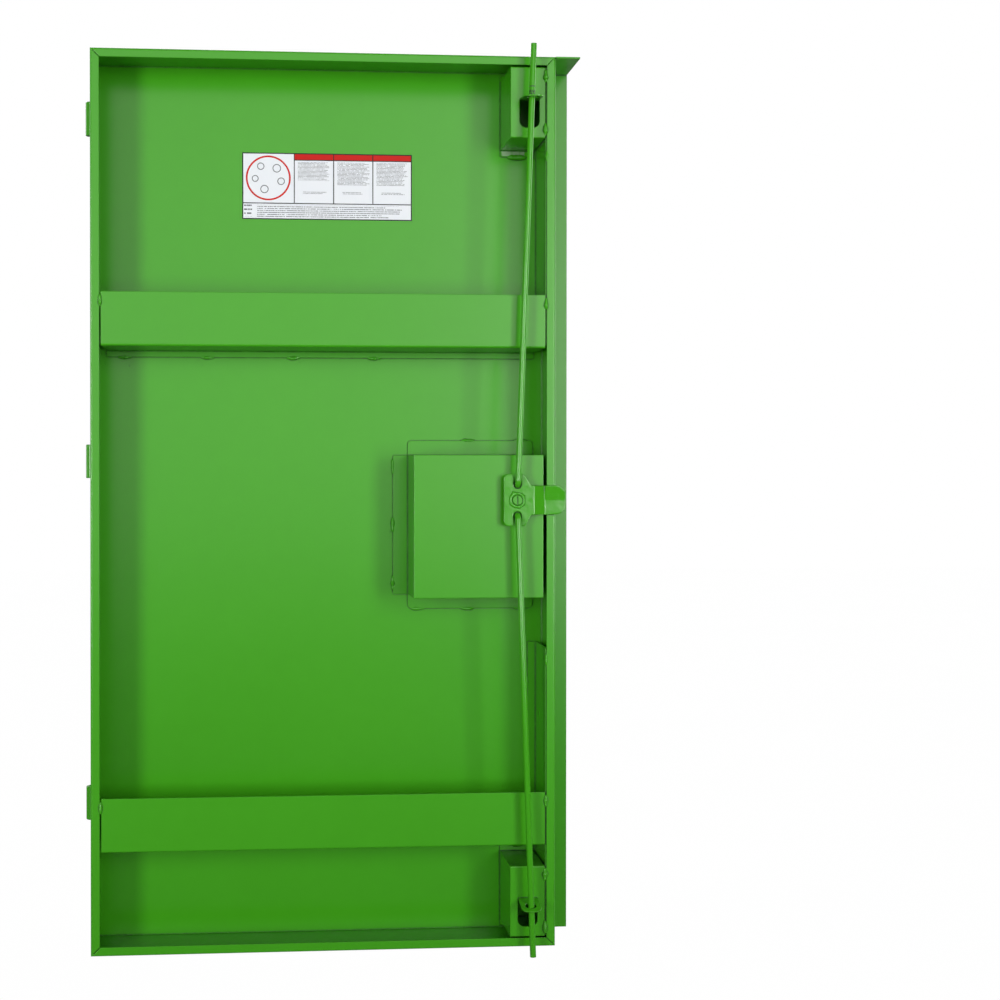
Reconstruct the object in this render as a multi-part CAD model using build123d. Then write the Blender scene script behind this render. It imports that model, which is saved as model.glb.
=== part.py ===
"""Inside-reinforced steel storage-cabinet door with a three-point latch.

Frame: origin on the lowest hinge barrel's bore, halfway up it. +Z is up, +X runs from the
hinge side to the latch side, and +Y points out of the cabinet, so the trays, the latch
plate and the rods are on the -Y side.
"""
from build123d import *
from math import radians, sin, sqrt
import os

# ---- driving sizes, in millimetres -----------------------------------------------------

# the folded door pan
door_height = 1410.0
door_width = 730.0
door_depth = 105.0
sheet = 2.0
inside_bend = 1.0
flange_width = 14.0
mitre_gap = 1.0
mitre_depth = 1.4

# hinge barrels, welded to the hinge-side wall
barrel_od = 16.0
barrel_length = 54.0
barrel_chamfer = 1.0
hinge_pin = 10.0
hinge_running_gap = 0.05
hinge_leaf_length = 22.0
hinge_leaf = 4.0
hinge_pitch = 550.0
hinge_low_height = 220.0

# meeting strip and top cap on the latch side
strip_overhang = 39.0
strip_sheet = 2.5
strip_wall_leaf = 25.0

# storage trays
tray_height = 84.0
tray_end_gap = 2.5
tray_rear_flange = 10.0
upper_tray_height = 949.0
lower_tray_height = 161.0

# lock pocket, open to the outside of the door
pocket_width = 207.0
pocket_height = 227.0
pocket_face_setback = 6.0
pocket_corner = 6.0
pocket_tab = 24.0
pocket_side_tab = 12.0
pocket_side_gap = 16.0
pocket_above_pivot = 71.5

# latch plate, spindle and keeper
pivot_height = 708.5
pivot_to_latch_side = 63.0
spindle_od = 16.0
running_gap = 0.05
end_play = 0.4
bush_wall = 5.0
bush_front = 9.0
bush_rear = 8.0
washer_sheet = 1.3
washer_od = 27.0
keeper_sheet = 3.0
latch_sheet = 4.0
latch_half_height = 41.0
latch_left = 21.5
latch_right = 22.5
upper_ear = 10.0
lower_ear = 12.0
finger_round = 7.5
notch_round = 4.0
ear_round = 1.5
crank_radius = 24.0
notch_gap = 1.5
tongue_reach = 78.0
tongue_half_height = 23.0
tongue_round = 16.0
tongue_joggle = 7.0
joggle_start = 27.0
joggle_end = 45.0
tongue_flare = 4.0
spindle_proud = 3.0
spindle_slot = 1.4
spindle_chamfer = 0.8
weld_ring_od = 30.0
weld_crown = 2.5
keeper_margin = 1.0

# latch rods and their guides
rod_od = 9.5
rod_bend = 7.5
rod_plate_gap = 1.75
rod_proud_top = 12.5
rod_proud_bottom = 8.0
rod_lean = 20.0
rod_end_proud = 1.6
clip_sheet = 1.2
clip_od = 15.0
guide_width = 55.0
guide_height = 112.0
guide_side_gap = 17.0
guide_edge_gap = 17.0
guide_tab = 10.0
slot_width = 32.0
slot_height = 44.0
slot_round = 11.0
slot_below_top = 52.0
slot_kerf = 0.5
rod_hole = 18.0
rod_hole_reach = 26.0
rod_hole_shift = 1.1
upper_tab_droop = 5.0
lower_tab_droop = 13.0

# stiffener angles along the latch-side flange
stiffener_sheet = 2.0
stiffener_back = 15.0
stiffener_to_tray = 0.4
stiffener_behind_flange = 0.4
stiffener_tuck = 3.0
stiffener_end_gap = 3.0
lower_stiffener_top = 473.0

# outside handle and padlock lugs, inside the pocket
hub_od = 30.0
hub_length = 24.0
lever_width = 25.0
lever_sheet = 8.0
lever_length = 125.0
lever_end_flat = 2.0
grip_length = 70.0
grip_wall = 3.0
grip_round = 2.5
hub_chamfer = 1.0
hub_pin_short = 0.5
lug_sheet = 5.0
lug_width = 22.0
lug_drop = 42.0
lug_gap = 0.8
lug_stand = 24.0
padlock_hole = 12.0
stop_od = 10.0
stop_reach = 34.0
hub_pin_od = 5.0

# label on the inside of the panel
label_width = 277.0
label_height = 108.0
label_sheet = 0.3
label_left = 235.0
label_bottom = 1164.0

# weld beads: radii, and lengths along each run
bead = 3.0
fine_bead = 2.2
long_run = 24.0
pocket_run = 18.0
short_run = 16.0
nugget_run = 12.0
nugget_inset = 8.0
tray_run_shares = (0.03, 0.22, 0.42, 0.61)
pocket_side_shares = (0.08, 0.5, 0.92)
pocket_top_shares = (0.48, 0.9)
pocket_low_shares = (0.08, 0.48, 0.9)

# how far a cut runs past the face that it opens
past = 1.0

# ---- places worked out from the sizes --------------------------------------------------

LEFT = barrel_od / 2
RIGHT = LEFT + door_width
SKIN = barrel_od / 2
FRONT = SKIN - door_depth
BOTTOM = -hinge_low_height
TOP = BOTTOM + door_height
PANEL = SKIN - sheet                 # the panel's inside face
outside_bend = inside_bend + sheet
inner_right = RIGHT - flange_width   # free edge of the latch-side flange

pivot_x = RIGHT - pivot_to_latch_side
pivot_z = BOTTOM + pivot_height
pocket_face = FRONT + pocket_face_setback
pocket_right = RIGHT - sheet - pocket_side_gap
pocket_left = pocket_right - pocket_width
pocket_top = pivot_z + pocket_above_pivot
pocket_bottom = pocket_top - pocket_height

bush_od = spindle_od + 2 * bush_wall
bush_face = pocket_face - bush_front
washer_rear = bush_face - end_play
keeper_rear = washer_rear - washer_sheet
latch_rear = keeper_rear - keeper_sheet
latch_front = latch_rear - latch_sheet
spindle_front = latch_front - spindle_proud
bush_back = pocket_face + sheet + bush_rear
hub_front = bush_back + end_play
hub_back = hub_front + hub_length
rod_y = latch_front - rod_plate_gap - rod_od / 2
notch_width = rod_od + 2 * notch_gap

guide_right = RIGHT - guide_side_gap
guide_left = guide_right - guide_width
upper_guide_bottom = TOP - guide_edge_gap - guide_height
lower_guide_bottom = BOTTOM + guide_edge_gap - sheet / 2
rod_guide_x = pivot_x + rod_lean
tray_left = LEFT + flange_width + tray_end_gap
tray_right = inner_right - tray_end_gap
upper_tray_z = BOTTOM + upper_tray_height
lower_tray_z = BOTTOM + lower_tray_height
stiffener_x = inner_right + stiffener_tuck
stiffener_front = FRONT + sheet + stiffener_behind_flange
stiffener_lip = stiffener_x - tray_right - stiffener_to_tray


def block(x, y, z):
    """A box between low and high limits, each given as a pair."""
    size = (x[1] - x[0], y[1] - y[0], z[1] - z[0])
    middle = (sum(x) / 2, sum(y) / 2, sum(z) / 2)
    return Pos(*middle) * Box(*size)


def rod_along_y(x, z, radius, y):
    """A cylinder along Y between two limits."""
    return Pos(x, sum(y) / 2, z) * Rot(90, 0, 0) * Cylinder(radius, y[1] - y[0])


def rod_along_z(x, y, radius, z):
    """A cylinder along Z between two limits."""
    return Pos(x, y, sum(z) / 2) * Cylinder(radius, z[1] - z[0])


def rod_along_x(y, z, radius, x):
    """A cylinder along X between two limits."""
    return Pos(sum(x) / 2, y, z) * Rot(0, 90, 0) * Cylinder(radius, x[1] - x[0])


def capsule(start, end, radius):
    """A round-ended weld bead between two points."""
    a, b = Vector(*start), Vector(*end)
    run = b - a
    barrel = Plane(origin=(a + b) / 2, z_dir=run) * Cylinder(radius, run.length)
    return barrel + Pos(*start) * Sphere(radius) + Pos(*end) * Sphere(radius)


def plate_outline(points, rounds, y):
    """A flat plate in the XZ plane between two Y limits, with its numbered corners rounded."""
    plane = Plane(origin=(0, y[1], 0), x_dir=(1, 0, 0), z_dir=(0, -1, 0))
    outline = make_face(Polyline(*points, close=True))
    for corner, radius in rounds.items():
        at = Vector(*points[corner])
        vertex = outline.vertices().sort_by_distance((at.X, at.Y, 0))[0]
        outline = fillet(vertex, radius)
    return extrude(plane * outline, y[1] - y[0])


# ---- the pan and what is welded round its edge -----------------------------------------

def door_pan():
    """One folded sheet: the skin, four walls and the mitred return flanges."""
    outer = block((LEFT, RIGHT), (FRONT, SKIN), (BOTTOM, TOP))
    rims = outer.faces().sort_by(Axis.Y)[0].edges() + outer.faces().sort_by(Axis.Y)[-1].edges()
    outer = fillet(rims, outside_bend)
    hollow = block((LEFT + sheet, RIGHT - sheet), (FRONT + sheet, PANEL),
                   (BOTTOM + sheet, TOP - sheet))
    rims = hollow.faces().sort_by(Axis.Y)[0].edges() + hollow.faces().sort_by(Axis.Y)[-1].edges()
    hollow = fillet(rims, inside_bend)
    mouth = block((LEFT + flange_width, inner_right), (FRONT - sheet, FRONT + 2 * sheet),
                  (BOTTOM + flange_width, TOP - flange_width))
    window = block((pocket_left + sheet, pocket_right - sheet), (PANEL - sheet, SKIN + sheet),
                   (pocket_bottom + sheet, pocket_top - sheet))
    window = fillet(window.edges().filter_by(Axis.Y), pocket_corner)
    pan = outer - hollow - mouth - window
    seam_start = outside_bend + mitre_gap
    seam = (flange_width + mitre_gap - seam_start) * sqrt(2)
    inset = (seam_start + flange_width + mitre_gap) / 2
    for x, lean_x in ((LEFT, 1), (RIGHT, -1)):
        for z, lean_z in ((BOTTOM, 1), (TOP, -1)):
            middle = (x + lean_x * inset, FRONT, z + lean_z * inset)
            groove = Rot(0, -45 * lean_x * lean_z, 0) * Box(seam, 2 * mitre_depth, mitre_gap)
            pan -= Pos(*middle) * groove
    return pan


def meeting_strip():
    """Angle that closes the gap to the other door, flush with the skin."""
    z = (BOTTOM, TOP - strip_sheet)
    leaf = block((RIGHT, RIGHT + strip_overhang), (SKIN - strip_sheet, SKIN), z)
    wall_leaf = block((RIGHT, RIGHT + strip_sheet), (SKIN - strip_wall_leaf, SKIN), z)
    strip = leaf + wall_leaf
    inner = strip.edges().filter_by(Axis.Z).sort_by_distance(
        (RIGHT + strip_sheet, SKIN - strip_sheet, TOP / 2))[0]
    return fillet(inner, inside_bend)


def top_cap_plate():
    """Flat plate over the top end of the meeting strip, the full depth of the pan."""
    return block((RIGHT, RIGHT + strip_overhang), (FRONT, SKIN), (TOP - strip_sheet, TOP))


def hinge_barrel(z):
    """Tube with a welding leaf, its bore on the hinge axis."""
    ends = (z - barrel_length / 2, z + barrel_length / 2)
    tube = rod_along_z(0, 0, barrel_od / 2, ends)
    tube = chamfer(tube.edges().filter_by(GeomType.CIRCLE), barrel_chamfer)
    leaf = block((LEFT - hinge_leaf, LEFT), (-hinge_leaf_length, 0),
                 (ends[0] + barrel_chamfer, ends[1] - barrel_chamfer))
    bore = rod_along_z(0, 0, hinge_pin / 2 + hinge_running_gap, (ends[0] - past, ends[1] + past))
    return tube + leaf - bore


# ---- trays, guides and stiffeners ------------------------------------------------------

def tray(z):
    """Open trough: front lip, bottom, and a flange turned down on the panel."""
    corners = [(FRONT, z + tray_height), (FRONT, z), (PANEL - sheet, z),
               (PANEL - sheet, z - tray_rear_flange), (PANEL, z - tray_rear_flange),
               (PANEL, z + sheet), (FRONT + sheet, z + sheet), (FRONT + sheet, z + tray_height)]
    section = make_face(Polyline(*corners, close=True))
    bends = {(FRONT, z): outside_bend, (FRONT + sheet, z + sheet): inside_bend,
             (PANEL - sheet, z): inside_bend}
    for (y, up), radius in bends.items():
        section = fillet(section.vertices().sort_by_distance((y, up, 0))[0], radius)
    return extrude(Plane.YZ.offset(tray_left) * section, tray_right - tray_left)


def rod_guide(z, droop, hole_shift):
    """Folded box with a lanced tab at its slot; the rod runs through the tab's hole."""
    x = (guide_left, guide_right)
    top = z + guide_height
    face = block(x, (FRONT, FRONT + sheet), (z, top))
    side = block((guide_left, guide_left + sheet), (FRONT, PANEL), (z, top))
    floor = block(x, (FRONT, PANEL), (z, z + sheet))
    roof = block(x, (FRONT, PANEL), (top - sheet, top))
    low_tab = block(x, (PANEL - sheet, PANEL), (z - guide_tab, z + sheet))
    high_tab = block(x, (PANEL - sheet, PANEL), (top - sheet, top + guide_tab))
    box = face + side + floor + roof + low_tab + high_tab
    front_rim = [e for e in box.edges().filter_by(Axis.X)
                 if abs(e.center().Y - FRONT) < 0.01]
    box = fillet(front_rim, outside_bend - inside_bend)

    slot_x = rod_guide_x + hole_shift
    slot_top = top - slot_below_top
    slot = block((slot_x - slot_width / 2, slot_x + slot_width / 2),
                 (FRONT - sheet, FRONT + 2 * sheet), (slot_top - slot_height, slot_top))
    low_corners = slot.edges().filter_by(Axis.Y).sort_by(Axis.Z)[:2]
    box -= fillet(low_corners, slot_round)

    half = slot_width / 2 - slot_kerf
    length = slot_height - slot_kerf
    tab = block((slot_x - half, slot_x + half), (-length, sheet), (0, sheet))
    tab = fillet(tab.edges().filter_by(Axis.Z).sort_by(Axis.Y)[:2], slot_round)
    tab -= rod_along_z(slot_x, -rod_hole_reach, rod_hole / 2, (-sheet, 2 * sheet))
    return box + Pos(0, FRONT, slot_top) * Rot(droop, 0, 0) * tab


def stiffener(z, back_z):
    """Angle behind the latch-side flange, with a front lip and a back leaf on the panel."""
    x = (stiffener_x - stiffener_sheet, stiffener_x)
    web = block(x, (stiffener_front, PANEL), z)
    lip = block((stiffener_x - stiffener_lip, stiffener_x),
                (stiffener_front, stiffener_front + stiffener_sheet), z)
    back = block((stiffener_x - stiffener_back, stiffener_x), (PANEL - stiffener_sheet, PANEL),
                 back_z)
    return web + lip + back


def upper_stiffener():
    z = (upper_tray_z + sheet + stiffener_end_gap, TOP - flange_width - stiffener_end_gap)
    back_top = upper_guide_bottom - guide_tab - stiffener_end_gap
    return stiffener(z, (z[0], back_top))


def lower_stiffener():
    z = (BOTTOM + flange_width + stiffener_end_gap, BOTTOM + lower_stiffener_top)
    back_low = lower_tray_z + sheet + stiffener_end_gap
    return stiffener(z, (back_low, z[1]))


def label():
    x = LEFT + label_left
    z = BOTTOM + label_bottom
    return block((x, x + label_width), (PANEL - label_sheet, PANEL), (z, z + label_height))


# ---- the lock pocket and what is fixed in it -------------------------------------------

def lock_pocket():
    """Box round the outside handle, welded to the panel by tabs on its four sides."""
    x = (pocket_left, pocket_right)
    z = (pocket_bottom, pocket_top)
    shell = block(x, (pocket_face, PANEL), z)
    rims = shell.faces().sort_by(Axis.Y)[0].edges()
    shell = fillet(rims, inside_bend)
    shell -= block((x[0] + sheet, x[1] - sheet), (pocket_face + sheet, SKIN),
                   (z[0] + sheet, z[1] - sheet))
    on_panel = (PANEL - sheet, PANEL)
    left_tab = block((x[0] - pocket_tab, x[0]), on_panel, z)
    right_tab = block((x[1], x[1] + pocket_side_tab), on_panel, z)
    top_tab = block(x, on_panel, (z[1], z[1] + pocket_tab))
    low_tab = block(x, on_panel, (z[0] - pocket_tab, z[0]))
    top_tab = fillet(top_tab.edges().filter_by(Axis.Y).sort_by(Axis.Z)[-2:], pocket_corner)
    low_tab = fillet(low_tab.edges().filter_by(Axis.Y).sort_by(Axis.Z)[:2], pocket_corner)
    shell = shell + left_tab + right_tab + top_tab + low_tab
    return shell - rod_along_y(pivot_x, pivot_z, bush_od / 2, (pocket_face - past, bush_back))


def spindle_bush():
    tube = rod_along_y(pivot_x, pivot_z, bush_od / 2, (bush_face, bush_back))
    ends = (bush_face - past, bush_back + past)
    return tube - rod_along_y(pivot_x, pivot_z, spindle_od / 2 + running_gap, ends)


def lug_blank(x, y):
    """Padlock lug: a flat ear across the X axis, with a round top and the shackle hole."""
    z = pivot_z - lug_drop
    hole_y = y[1] - lug_width / 2
    ear = block(x, (y[0], hole_y), (z - lug_width / 2, z + lug_width / 2))
    ear += rod_along_x(hole_y, z, lug_width / 2, x)
    return ear - rod_along_x(hole_y, z, padlock_hole / 2, (x[0] - past, x[1] + past))


def padlock_lug():
    """Fixed ear on the pocket's face, beside the handle's own ear."""
    x = pivot_x + lever_width / 2 + lug_gap
    return lug_blank((x, x + lug_sheet), (pocket_face + sheet, hub_back + lug_stand))


def handle_stop():
    """Peg that the lever meets when the latch is fully open."""
    z = pivot_z + lever_width / 2 + lug_gap + stop_od / 2
    return rod_along_y(pivot_x - stop_reach, z, stop_od / 2, (pocket_face + sheet, hub_back))


# ---- everything that turns with the spindle --------------------------------------------

def latch_plate():
    """Notched plate on the spindle, with the joggled tongue that reaches the other door."""
    half_notch = notch_width / 2
    top = latch_half_height
    outline = [(-latch_left, top), (-half_notch, top), (-half_notch, crank_radius),
               (half_notch, crank_radius), (half_notch, top), (upper_ear, top),
               (latch_right, tongue_half_height), (latch_right, -tongue_half_height),
               (lower_ear, -top), (half_notch, -top), (half_notch, -crank_radius),
               (-half_notch, -crank_radius), (-half_notch, -top), (-latch_left, -top)]
    rounds = {0: finger_round, 1: notch_round, 4: ear_round, 5: ear_round,
              8: ear_round, 9: ear_round, 12: notch_round, 13: finger_round}
    plate = plate_outline(outline, rounds, (latch_front, latch_rear))
    through = (latch_front - past, latch_rear + past)
    for side in (1, -1):
        plate -= rod_along_y(0, side * crank_radius, half_notch, through)
    plate += tongue()
    plate -= rod_along_y(0, 0, spindle_od / 2, through)
    return Pos(pivot_x, 0, pivot_z) * plate


def tongue():
    """Joggled and flared end of the latch plate, drawn about the pivot."""
    front, rear = latch_front, latch_rear
    root = latch_right - past
    step = tongue_joggle
    side = [(root, front), (joggle_start, front), (joggle_end, front + step),
            (tongue_reach, front + step), (tongue_reach, rear + step),
            (joggle_end, rear + step), (joggle_start, rear), (root, rear)]
    section = make_face(Polyline(*side, close=True))
    bar = extrude(Plane.XY.offset(-tongue_half_height) * section, 2 * tongue_half_height)
    corners = bar.edges().filter_by(Axis.Y).sort_by(Axis.X)[-2:]
    bar = fillet(corners, tongue_round)
    flare_x = (joggle_end, tongue_reach + past)
    flare = Pos(0, front + step, 0) * leaning_sheet(flare_x)
    upper = flare & tongue_silhouette()
    cut = block(flare_x, (front + step - past, rear + step + past), (0, tongue_half_height + past))
    return (bar - cut) + upper


def leaning_sheet(x):
    """Sheet that leans forward as it rises from the middle of the tongue."""
    rise = tongue_half_height + past
    lean = tongue_flare
    side = [(0, 0), (latch_sheet, 0), (latch_sheet - lean, rise), (-lean, rise)]
    section = make_face(Polyline(*side, close=True))
    return extrude(Plane.YZ.offset(x[0]) * section, x[1] - x[0])


def tongue_silhouette():
    """The tongue's outline, deep enough to trim its flared half."""
    y = (latch_front - tongue_flare, latch_rear + tongue_joggle + tongue_flare)
    deep = block((joggle_end, tongue_reach), y, (-tongue_half_height, tongue_half_height))
    corners = deep.edges().filter_by(Axis.Y).sort_by(Axis.X)[-2:]
    return fillet(corners, tongue_round)


def keeper_plate():
    """Plate behind the latch plate; its closed holes carry the bent rod ends."""
    half = clip_od / 2 + keeper_margin
    y = (latch_rear, keeper_rear)
    through = (y[0] - past, y[1] + past)
    end = crank_radius + half
    bar = block((-half, half), y, (-end, end))
    bar = fillet(bar.edges().filter_by(Axis.Y), clip_od / 2)
    bar += rod_along_y(0, 0, washer_od / 2, y)
    for side in (1, -1):
        bar -= rod_along_y(0, side * crank_radius, rod_od / 2 + running_gap, through)
    bar -= rod_along_y(0, 0, spindle_od / 2, through)
    return Pos(pivot_x, 0, pivot_z) * bar


def spindle():
    shaft = rod_along_y(pivot_x, pivot_z, spindle_od / 2, (spindle_front, hub_back))
    rim = shaft.edges().filter_by(GeomType.CIRCLE)
    shaft = chamfer(rim, spindle_chamfer)
    half = spindle_slot / 2
    slot_y = (spindle_front - past, spindle_front + past)
    shaft -= block((pivot_x - half, pivot_x + half), slot_y,
                   (pivot_z - spindle_od, pivot_z + spindle_od))
    return shaft - hub_pin_bore()


def spindle_weld():
    """Fillet weld that joins the spindle to the latch plate."""
    inside = spindle_od / 2
    section = [(inside, latch_front), (inside, spindle_front + spindle_chamfer),
               (inside + weld_crown, spindle_front + spindle_chamfer / 2),
               (weld_ring_od / 2, latch_front)]
    face = make_face(Polyline(*section, close=True))
    ring = revolve(Plane.XY * face, Axis.Y, 360)
    return Pos(pivot_x, 0, pivot_z) * ring


def thrust_washer():
    disc = rod_along_y(pivot_x, pivot_z, washer_od / 2, (keeper_rear, washer_rear))
    through = (keeper_rear - past, washer_rear + past)
    return disc - rod_along_y(pivot_x, pivot_z, spindle_od / 2 + running_gap, through)


def hub_pin_bore():
    middle = (hub_front + hub_back - lever_sheet) / 2
    return rod_along_x(middle, pivot_z, hub_pin_od / 2, (pivot_x - hub_od, pivot_x + hub_od))


def handle_hub():
    """Collar that carries the lever, pinned to the spindle."""
    y = (hub_front, hub_back)
    collar = rod_along_y(pivot_x, pivot_z, hub_od / 2, y)
    collar = chamfer(collar.edges().filter_by(GeomType.CIRCLE), hub_chamfer)
    collar -= rod_along_y(pivot_x, pivot_z, spindle_od / 2, (y[0] - past, y[1] + past))
    return collar - hub_pin_bore()


def hub_pin():
    middle = (hub_front + hub_back - lever_sheet) / 2
    half = hub_od / 2 - hub_pin_short
    return rod_along_x(middle, pivot_z, hub_pin_od / 2, (pivot_x - half, pivot_x + half))


def handle_lever():
    """Flat bar from the hub down the pocket."""
    y = (hub_back - lever_sheet, hub_back)
    half = lever_width / 2
    bar = block((pivot_x - half, pivot_x + half), y, (pivot_z - lever_length, pivot_z))
    low_corners = bar.edges().filter_by(Axis.Y).sort_by(Axis.Z)[:2]
    bar = fillet(low_corners, half - lever_end_flat / 2)
    return bar - rod_along_y(pivot_x, pivot_z, hub_od / 2, (y[0] - past, y[1] + past))


def handle_grip():
    """Dipped sleeve over the lower part of the lever."""
    half = lever_width / 2
    low = pivot_z - lever_length
    y = (hub_back - lever_sheet, hub_back)
    shape = block((pivot_x - half - grip_wall, pivot_x + half + grip_wall),
                  (y[0] - grip_wall, y[1] + grip_wall), (low - grip_wall, low + grip_length))
    low_corners = shape.edges().filter_by(Axis.Y).sort_by(Axis.Z)[:2]
    shape = fillet(low_corners, half + grip_wall - lever_end_flat / 2)
    shape = fillet(shape.faces().sort_by(Axis.Y)[-1].edges(), grip_round)
    shape = fillet(shape.faces().sort_by(Axis.Y)[0].edges(), grip_round)
    return shape - handle_lever()


def handle_lug():
    """Ear welded on the lever; it lines up with the fixed padlock lug when latched."""
    x = pivot_x + lever_width / 2
    return lug_blank((x - lug_sheet, x), (hub_back, hub_back + lug_stand))


# ---- rods ------------------------------------------------------------------------------

def rod(side, tip_z, guide_z):
    """Round bar from the crank pin to beyond the door's edge, its inner end bent back."""
    pin = Vector(pivot_x, rod_y, pivot_z + side * crank_radius)
    guide = Vector(rod_guide_x, FRONT - rod_hole_reach, guide_z)
    along = guide - pin
    tip = pin + along * ((tip_z - pin.Z) / along.Z)
    direction = along.normalized()
    bend_start = pin + direction * rod_bend
    pin_y = keeper_rear + clip_sheet + rod_end_proud
    bend_end = Vector(pin.X, rod_y + rod_bend, pin.Z)
    straight = Line(tip, bend_start)
    bend = TangentArc(bend_start, bend_end, tangent=-direction)
    shank = Line(bend_end, Vector(pin.X, pin_y, pin.Z))
    path = Wire([straight.edge(), bend.edge(), shank.edge()])
    section = Plane(origin=tip, z_dir=-direction) * Circle(rod_od / 2)
    return sweep(section, path=path, transition=Transition.ROUND)


def rod_clip(side):
    """Push-on ring that keeps the rod's bent end in the keeper plate."""
    z = pivot_z + side * crank_radius
    y = (keeper_rear + end_play, keeper_rear + end_play + clip_sheet)
    ring = rod_along_y(pivot_x, z, clip_od / 2, y)
    return ring - rod_along_y(pivot_x, z, rod_od / 2, (y[0] - past, y[1] + past))


def guide_hole_z(guide_bottom, droop):
    slot_top = guide_bottom + guide_height - slot_below_top
    return slot_top + sheet / 2 - rod_hole_reach * sin(radians(droop))


# ---- weld beads ------------------------------------------------------------------------

def beads(runs, radius, *neighbours):
    """Beads between pairs of points: what shows of each outside the pieces it joins."""
    group = []
    for start, end in runs:
        run = capsule(start, end, radius)
        for piece in neighbours:
            run -= piece
        group.append(run.solids().sort_by(SortBy.VOLUME)[-1])
    return Compound(children=group)


def tray_weld_runs():
    """Short runs under each rear flange, and one at each end of each lip."""
    runs = []
    span = tray_right - tray_left
    for z in (upper_tray_z, lower_tray_z):
        low = z - tray_rear_flange
        for share in tray_run_shares:
            x = tray_left + share * span
            runs.append(((x, PANEL, low), (x + short_run, PANEL, low)))
        for x in (tray_left - tray_end_gap / 2, tray_right + tray_end_gap / 2):
            top = z + tray_height - nugget_inset
            runs.append(((x, FRONT, top - nugget_run), (x, FRONT, top)))
    return runs


def guide_weld_runs():
    """Nuggets from each guide to the flange, and a run along each panel tab."""
    runs = []
    side_x = (guide_right + stiffener_x - stiffener_lip) / 2
    nugget_y = FRONT + sheet / 2
    tab_x = (guide_left + guide_right - long_run) / 2
    for z in (upper_guide_bottom, lower_guide_bottom):
        for rise in (nugget_inset, guide_height - nugget_inset - nugget_run):
            low = z + rise
            runs.append(((side_x, nugget_y, low), (side_x, nugget_y, low + nugget_run)))
        for tab_z in (z - guide_tab, z + guide_height + guide_tab):
            runs.append(((tab_x, PANEL, tab_z), (tab_x + long_run, PANEL, tab_z)))
    return runs


def pocket_weld_runs():
    """Three runs on the hinge side, two above and three below."""
    runs = []
    edge = pocket_left - pocket_tab
    for share in pocket_side_shares:
        z = pocket_bottom + share * pocket_height - pocket_run / 2
        runs.append(((edge, PANEL, z), (edge, PANEL, z + pocket_run)))
    for z, shares in ((pocket_top + pocket_tab, pocket_top_shares),
                      (pocket_bottom - pocket_tab, pocket_low_shares)):
        for share in shares:
            x = pocket_left + share * pocket_width - short_run / 2
            runs.append(((x, PANEL, z), (x + short_run, PANEL, z)))
    return runs


def stiffener_weld_runs():
    """Runs on the panel edge of both angles, and one nugget on each front lip."""
    edge = stiffener_x - stiffener_back
    lip_y = FRONT + sheet
    upper = (upper_tray_z + tray_height, upper_guide_bottom - guide_tab)
    lower = (lower_tray_z + tray_height, BOTTOM + lower_stiffener_top)
    runs = []
    for low, high in (upper, lower):
        rise = (high - low) / 3
        for z in (low + rise, high - rise):
            runs.append(((edge, PANEL, z), (edge, PANEL, z + short_run)))
        lip_z = high - short_run - nugget_inset
        runs.append(((inner_right, lip_y, lip_z), (inner_right, lip_y, lip_z + nugget_run)))
    return runs


def hinge_weld_runs():
    """One run along the leaf of each barrel."""
    runs = []
    for number in range(3):
        z = number * hinge_pitch
        half = (barrel_length - nugget_run) / 2
        runs.append(((LEFT, -hinge_leaf_length, z - half), (LEFT, -hinge_leaf_length, z + half)))
    return runs


def main():
    pieces = {
        "door_pan": door_pan(),
        "meeting_strip": meeting_strip(),
        "top_cap_plate": top_cap_plate(),
        "upper_tray": tray(upper_tray_z),
        "lower_tray": tray(lower_tray_z),
        "upper_rod_guide": rod_guide(upper_guide_bottom, upper_tab_droop, rod_hole_shift),
        "lower_rod_guide": rod_guide(lower_guide_bottom, lower_tab_droop, -rod_hole_shift),
        "upper_stiffener": upper_stiffener(),
        "lower_stiffener": lower_stiffener(),
        "label": label(),
        "lock_pocket": lock_pocket(),
        "spindle_bush": spindle_bush(),
        "padlock_lug": padlock_lug(),
        "handle_stop": handle_stop(),
        "latch_plate": latch_plate(),
        "keeper_plate": keeper_plate(),
        "spindle": spindle(),
        "spindle_weld": spindle_weld(),
        "thrust_washer": thrust_washer(),
        "handle_hub": handle_hub(),
        "hub_pin": hub_pin(),
        "handle_lever": handle_lever(),
        "handle_grip": handle_grip(),
        "handle_lug": handle_lug(),
        "upper_rod": rod(1, TOP + rod_proud_top, guide_hole_z(upper_guide_bottom, upper_tab_droop)),
        "lower_rod": rod(-1, BOTTOM - rod_proud_bottom,
                         guide_hole_z(lower_guide_bottom, lower_tab_droop)),
        "upper_rod_clip": rod_clip(1),
        "lower_rod_clip": rod_clip(-1),
    }
    for number, name in enumerate(("lower", "middle", "upper")):
        pieces[f"{name}_hinge_barrel"] = hinge_barrel(number * hinge_pitch)
    pan = pieces["door_pan"]
    welds = {
        "tray_welds": (tray_weld_runs(), bead, ("upper_tray", "lower_tray",
                                                "upper_stiffener", "lower_stiffener")),
        "guide_welds": (guide_weld_runs(), bead, ("upper_rod_guide", "lower_rod_guide",
                                                  "upper_stiffener", "lower_stiffener")),
        "pocket_welds": (pocket_weld_runs(), bead, ("lock_pocket",)),
        "stiffener_welds": (stiffener_weld_runs(), bead, ("upper_stiffener", "lower_stiffener")),
        "hinge_welds": (hinge_weld_runs(), fine_bead,
                        ("lower_hinge_barrel", "middle_hinge_barrel", "upper_hinge_barrel")),
    }
    for name, (runs, radius, joined) in welds.items():
        pieces[name] = beads(runs, radius, pan, *(pieces[other] for other in joined))

    os.makedirs("parts", exist_ok=True)
    for name, shape in pieces.items():
        export_step(shape, f"parts/{name}.step")


main()
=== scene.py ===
import math
import random

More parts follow.
